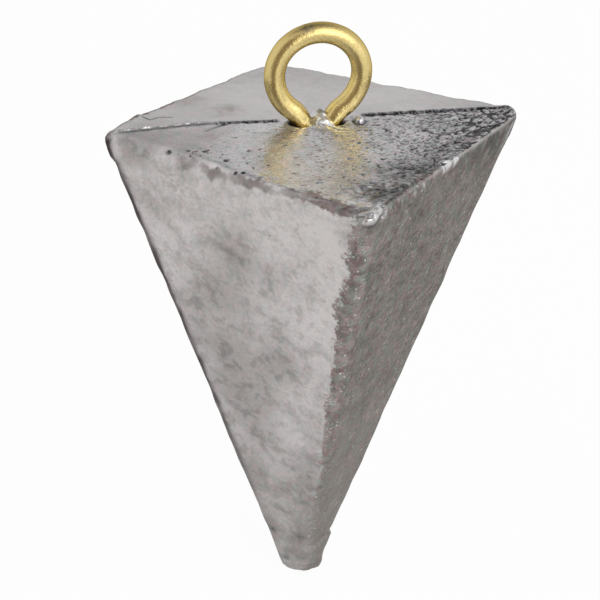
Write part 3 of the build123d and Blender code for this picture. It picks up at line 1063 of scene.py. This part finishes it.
def cast_lead(mottle, grain, specks):
    """Dull lead with pale oxide on its flats, worn edges, bright unoxidised lead, painted glints, and
    painted shade in crevices, furrows, pits and down the parting edges.
    """
    material, wires = new_material("cast_lead")
    place = wires.place()
    wear, seam, furrow = map(wires.mask, ("wear", "seam", "furrow"))
    dark_patch, crevice, fresh_and_glints = map(wires.mask, ("dark_patch", "crevice", "fresh_and_glints"))
    level, bloom, stain, blotch = map(wires.mask, ("level", "bloom", "stain", "blotch"))
    light_spot, tip_dull, rim_stain = map(wires.mask, ("light_spot", "tip_dull", "rim_stain"))
    # Pinholes too small to model, painted as specks of shade
    holes = wires.use(specks, {"Place": place, "Spacing": 0.4, "Amount": 0.6})
    crevice = wires.most(crevice, wires.times(holes, wires.mask("pinholes")))
    torn_stain = wires.times(wires.less(wires.noise(place, 0.6, 4.0, 0.65), 0.5), 0.9)
    rim_stain = wires.times(wires.ease(0.15, 0.9, wires.plus(rim_stain, torn_stain)), 0.85)

    streaks = wires.use(grain, {"Place": place, "Turn": GRAIN_TURN, "Streak Size": GRAIN_SIZE})
    fine = wires.noise(place, 0.2, 3.0)
    clouds = wires.use(mottle, {"Place": place, "Patch Size": 3.0, "Coverage": 0.5, "Softness": 0.1})
    stains = wires.use(mottle, {"Place": place, "Patch Size": 1.3, "Coverage": 0.5, "Softness": 0.15})

    torn = wires.between(0.6, wires.noise(place, 2.8, 1.0), wires.noise(place, 0.7, 5.0, 0.7))
    torn_wear = wires.plus(wear, wires.times(wires.less(torn, 0.5), 1.9))
    worn = wires.ease(0.42, 0.58, torn_wear)
    pale_mask = wires.times(bloom, wires.less(1.0, worn))
    pale_mask = wires.between(tip_dull, pale_mask, wires.times(bloom, wires.between(clouds, 0.4, 0.8)))
    top_flat = wires.times(level, wires.less(1.0, worn))
    bare_wear = wires.between(tip_dull, torn_wear, 0.0)
    colour = bare_lead(wires, place, streaks, fine, grain, specks, bare_wear)
    height_up = wires.axis(place, "Z")
    on_edge = wires.times(wires.ease(-6, -10, height_up), wires.ease(-44, -36, height_up))
    sparks = edge_sparks(wires, place, specks, wires.times(wear, on_edge), wires.mask("painted_glints"))
    pale = pale_oxide(wires, place, mottle, specks, stain, blotch, light_spot)
    colour = wires.blend(pale_mask, colour, pale)
    colour = wires.blend(top_flat, colour, top_skin(wires, place, clouds, stains, stain, light_spot))
    colour = wires.blend(rim_stain, colour, wires.blend(stains, WORN_TONE, STAIN_TONE))
    speckle = wires.between(wires.ease(0.4, 0.6, wires.noise(place, 0.3, 3.0)), 0.7, 1.15)
    colour = wires.blend(wires.times(dark_patch, speckle), colour, PATCH_TONE)
    plain = wires.most(wires.most(pale_mask, tip_dull), wires.times(level, 0.7))
    colour = wires.tinted(wires.between(plain, 0.9, 0.35), colour, place)
    # Painted shade down the parting edges, from the seam mask
    colour = wires.blend(seam, colour, SEAM_SHADE_TONE)
    # Bright unoxidised lead, and painted glints and sparkles
    colour = wires.blend(wires.most(fresh_and_glints, sparks), colour, FRESH_AND_GLINT_TONE)
    # Painted shade in furrows, crevices, pits, pinholes and round the legs
    shade = wires.most(wires.times(furrow, 0.9), crevice)
    colour = wires.blend(shade, colour, SHADE_TONE)

    rough = wires.between(pale_mask, 0.36, 0.7)
    rough = wires.between(top_flat, rough, 0.25)
    rough = wires.between(fresh_and_glints, rough, 0.16)
    rough = wires.between(seam, rough, 0.85)
    metal = wires.between(pale_mask, 0.9, 0.1)
    metal = wires.between(top_flat, metal, 0.85)
    # No metal where the painted seam shade and the painted glints are
    metal = wires.between(wires.most(wires.times(seam, 0.8), sparks), metal, 0.0)

    smooth = wires.most(wires.most(top_flat, pale_mask), wires.ease(0.3, 0.5, wear))
    height = wires.times(streaks, wires.between(smooth, 0.27, 0.0))
    grainy = wires.between(wires.ease(0.3, 0.5, wear), 0.3, 0.15)
    height = wires.plus(height, wires.times(fine, wires.between(top_flat, grainy, 0.24)))
    bump = wires.add("Bump", {"Height": height, "Strength": 0.9, "Distance": 0.12 * MM})
    settings = {"Base Color": colour, "Roughness": rough, "Metallic": metal, "Normal": bump.outputs[0]}
    shader = wires.add("BsdfPrincipled", settings)
    wires.feed(shader.inputs["Specular IOR Level"], 0.4)
    wires.feed(shader.inputs["Specular Tint"], (0.6, 0.58, 0.56, 1))
    wires.feed(wires.add("OutputMaterial").inputs["Surface"], shader.outputs[0])
    return material


BRASS_LIGHT = (0.77, 0.62, 0.27, 1)
BRASS_DARK = (0.50, 0.37, 0.14, 1)
LEAD_SMEAR = (0.20, 0.19, 0.18, 1)
SMEAR_PLACE = (-1.2, -0.5, 4.4)


def satin_brass(mottle, grain, specks):
    """Drawn brass wire, satin, with faint lines along it, tarnish and a smear of lead."""
    material, wires = new_material("satin_brass")
    place = wires.place()
    tarnish = wires.use(mottle, {"Place": place, "Patch Size": 1.6, "Coverage": 0.4, "Softness": 0.3})
    lines = wires.use(grain, {"Place": place, "Turn": (0, 0, 0), "Streak Size": (0.4, 0.06, 0.4)})
    spots = wires.use(specks, {"Place": place, "Spacing": 1.4, "Amount": 0.1})
    colour = wires.blend(wires.times(tarnish, 0.4), BRASS_LIGHT, BRASS_DARK)
    colour = wires.blend(wires.times(spots, 0.7), colour, BRASS_DARK)
    away = wires.add("VectorMath", {0: place, 1: SMEAR_PLACE}, operation="DISTANCE").outputs["Value"]
    smear = wires.times(wires.ease(0.9, 0.2, away), wires.ease(0.35, 0.6, wires.noise(place, 0.5, 3.0)))
    colour = wires.blend(smear, colour, LEAD_SMEAR)
    # Darker and rougher on top: tarnish, and painted shade that dims the highlight there
    dull_top = wires.ease(2.4, 4.4, wires.axis(place, "Z"))
    colour = wires.blend(wires.times(dull_top, 0.5), colour, BRASS_DARK)
    rough = wires.plus(wires.between(tarnish, 0.09, 0.17), wires.times(dull_top, 0.16))
    fine = wires.noise(place, 0.16, 3.0)
    height = wires.plus(wires.times(lines, 0.4), wires.times(fine, 0.6))
    bump = wires.add("Bump", {"Height": height, "Strength": 0.55, "Distance": 0.07 * MM})
    settings = {"Base Color": colour, "Roughness": rough, "Metallic": 1.0, "Normal": bump.outputs[0]}
    shader = wires.add("BsdfPrincipled", settings)
    wires.feed(shader.inputs["Specular Tint"], (0.45, 0.37, 0.22, 1))
    wires.feed(wires.add("OutputMaterial").inputs["Surface"], shader.outputs[0])
    return material


# Stage

FLOOR_SIZE = 3000
FLOOR_TONE = (0.90, 0.90, 0.90, 1)
DIM_TONE = (0.36, 0.30, 0.25, 1)
CAMERA_SIDE = (-0.5, -0.866, 0)
SUNNY_SIDE = (0.48, -0.877, 0)

# The room round the casting
ROOM_TONE = (0.88, 0.875, 0.87, 1)
OVERHEAD_TONE = (0.28, 0.28, 0.285, 1)
CAMERA_SIDE_TONE = (0.34, 0.28, 0.235, 1)
SUNNY_TONE = (1.2, 1.2, 1.2, 1)
BRIGHTEST_TONE = (2.6, 2.6, 2.6, 1)
SEEN_TONE = (0.985, 0.985, 0.985, 1)
OVERHEAD = (0.05, 0.25, 0.967)
ROOM_SUNNY_SIDE = (0.54, -0.84, 0.1)
ROOM_BRIGHTEST = (0.30, -0.945, 0.12)
LIGHT_AIM = Vector((0, 0, -20))


def floor_paper():
    """Pale paper: near white to the camera and in the metal, with a shadow, and dim by the camera."""
    material, wires = new_material("floor_paper")
    across = wires.add("VectorMath", {0: wires.place(), 1: (1, 1, 0)}, operation="MULTIPLY").outputs[0]
    away = wires.add("VectorMath", {0: across}, operation="LENGTH").outputs["Value"]
    toward = wires.add("VectorMath", {0: across}, operation="NORMALIZE").outputs[0]
    dim_side = wires.ease(0.84, 0.96, wires.along(toward, CAMERA_SIDE))
    dim = wires.times(dim_side, wires.ease(50, 110, away))
    sunny_side = wires.ease(0.80, 0.93, wires.along(toward, SUNNY_SIDE))
    sunny = wires.times(sunny_side, wires.ease(40, 90, away))
    tone = wires.blend(dim, FLOOR_TONE, DIM_TONE)
    paper = wires.add("BsdfPrincipled", {"Base Color": tone, "Roughness": 0.9})
    white = wires.add("Emission", {"Color": (1, 1, 1, 1), "Strength": 1.0})
    ray = wires.add("LightPath").outputs
    mirrored = wires.most(ray["Is Glossy Ray"], ray["Is Transmission Ray"])
    seen = wires.most(ray["Is Camera Ray"], mirrored)
    glossy_share = wires.between(dim, wires.between(sunny, 0.5, 1.0), 0.0)
    share = wires.between(ray["Is Camera Ray"], wires.times(seen, glossy_share), 0.95)
    surface = wires.add("MixShader", {0: share, 1: paper.outputs[0], 2: white.outputs[0]})
    wires.feed(wires.add("OutputMaterial").inputs["Surface"], surface.outputs[0])
    return material


def pale_floor():
    """A plain pale floor under the tip."""
    half = FLOOR_SIZE / 2 * MM
    z = TIP_Z * MM
    data = bpy.data.meshes.new("pale_floor")
    corners = [(-half, -half, z), (half, -half, z), (half, half, z), (-half, half, z)]
    data.from_pydata(corners, [], [(0, 1, 2, 3)])
    data.materials.append(floor_paper())
    floor = bpy.data.objects.new("pale_floor", data)
    bpy.context.scene.collection.objects.link(floor)


def soft_light(name, place, size, power):
    """A square soft box at that place, turned to the casting; millimetres and watts."""
    data = bpy.data.lights.new(name, "AREA")
    data.shape = "SQUARE"
    data.size = size * MM
    data.energy = power
    light = bpy.data.objects.new(name, data)
    light.location = Vector(place) * MM
    light.rotation_euler = (LIGHT_AIM - Vector(place)).to_track_quat("-Z", "Y").to_euler()
    bpy.context.scene.collection.objects.link(light)


def studio():
    """A lamp at the front right in a pale room, bright there and dim by the camera and overhead."""
    soft_light("lamp_front_right", (210, -300, 225), 300, 0.3)
    world = bpy.data.worlds.new("pale_room")
    bpy.context.scene.world = world
    world.use_nodes = True
    wires = Wiring(world.node_tree)
    toward = wires.add("TexCoord").outputs["Generated"]
    level = wires.add("VectorMath", {0: toward, 1: (1, 1, 0.5)}, operation="MULTIPLY").outputs[0]
    level = wires.add("VectorMath", {0: level}, operation="NORMALIZE").outputs[0]

    tone = wires.blend(wires.ease(0.76, 0.92, wires.along(toward, OVERHEAD)), ROOM_TONE, OVERHEAD_TONE)
    tone = wires.blend(wires.ease(0.80, 0.94, wires.along(level, CAMERA_SIDE)), tone, CAMERA_SIDE_TONE)
    tone = wires.blend(wires.ease(0.74, 0.88, wires.along(level, ROOM_SUNNY_SIDE)), tone, SUNNY_TONE)
    tone = wires.blend(wires.ease(0.95, 0.985, wires.along(level, ROOM_BRIGHTEST)), tone, BRIGHTEST_TONE)
    tone = wires.blend(wires.add("LightPath").outputs["Is Camera Ray"], tone, SEEN_TONE)
    background = wires.add("Background", {"Color": tone, "Strength": 1.0})
    wires.feed(wires.add("OutputWorld").inputs["Surface"], background.outputs[0])


def camera():
    """The photograph's view."""
    back = Vector((
        sin(CAMERA_AZIMUTH) * cos(CAMERA_ELEVATION),
        -cos(CAMERA_AZIMUTH) * cos(CAMERA_ELEVATION),
        sin(CAMERA_ELEVATION),
    ))
    level = Vector((cos(CAMERA_AZIMUTH), sin(CAMERA_AZIMUTH), 0))
    upright = back.cross(level)
    right = level * cos(CAMERA_ROLL) + upright * sin(CAMERA_ROLL)
    up = upright * cos(CAMERA_ROLL) - level * sin(CAMERA_ROLL)
    data = bpy.data.cameras.new("camera")
    data.lens = CAMERA_LENS
    data.clip_start = MM
    view = bpy.data.objects.new("camera", data)
    turn = Matrix((right, up, back)).transposed().to_4x4()
    view.matrix_world = Matrix.Translation((CAMERA_TARGET + back * CAMERA_DISTANCE) * MM) @ turn
    bpy.context.scene.collection.objects.link(view)
    bpy.context.scene.camera = view


effects = mottle_group(), grain_group(), speck_group()
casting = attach(lead_casting(cast_lead(*effects)), "root")
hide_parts("lead_body")
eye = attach(wire_eye(satin_brass(*effects)), "root")
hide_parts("wire_eye")
pale_floor()
studio()
camera()
bpy.context.scene.view_settings.view_transform = "Standard"
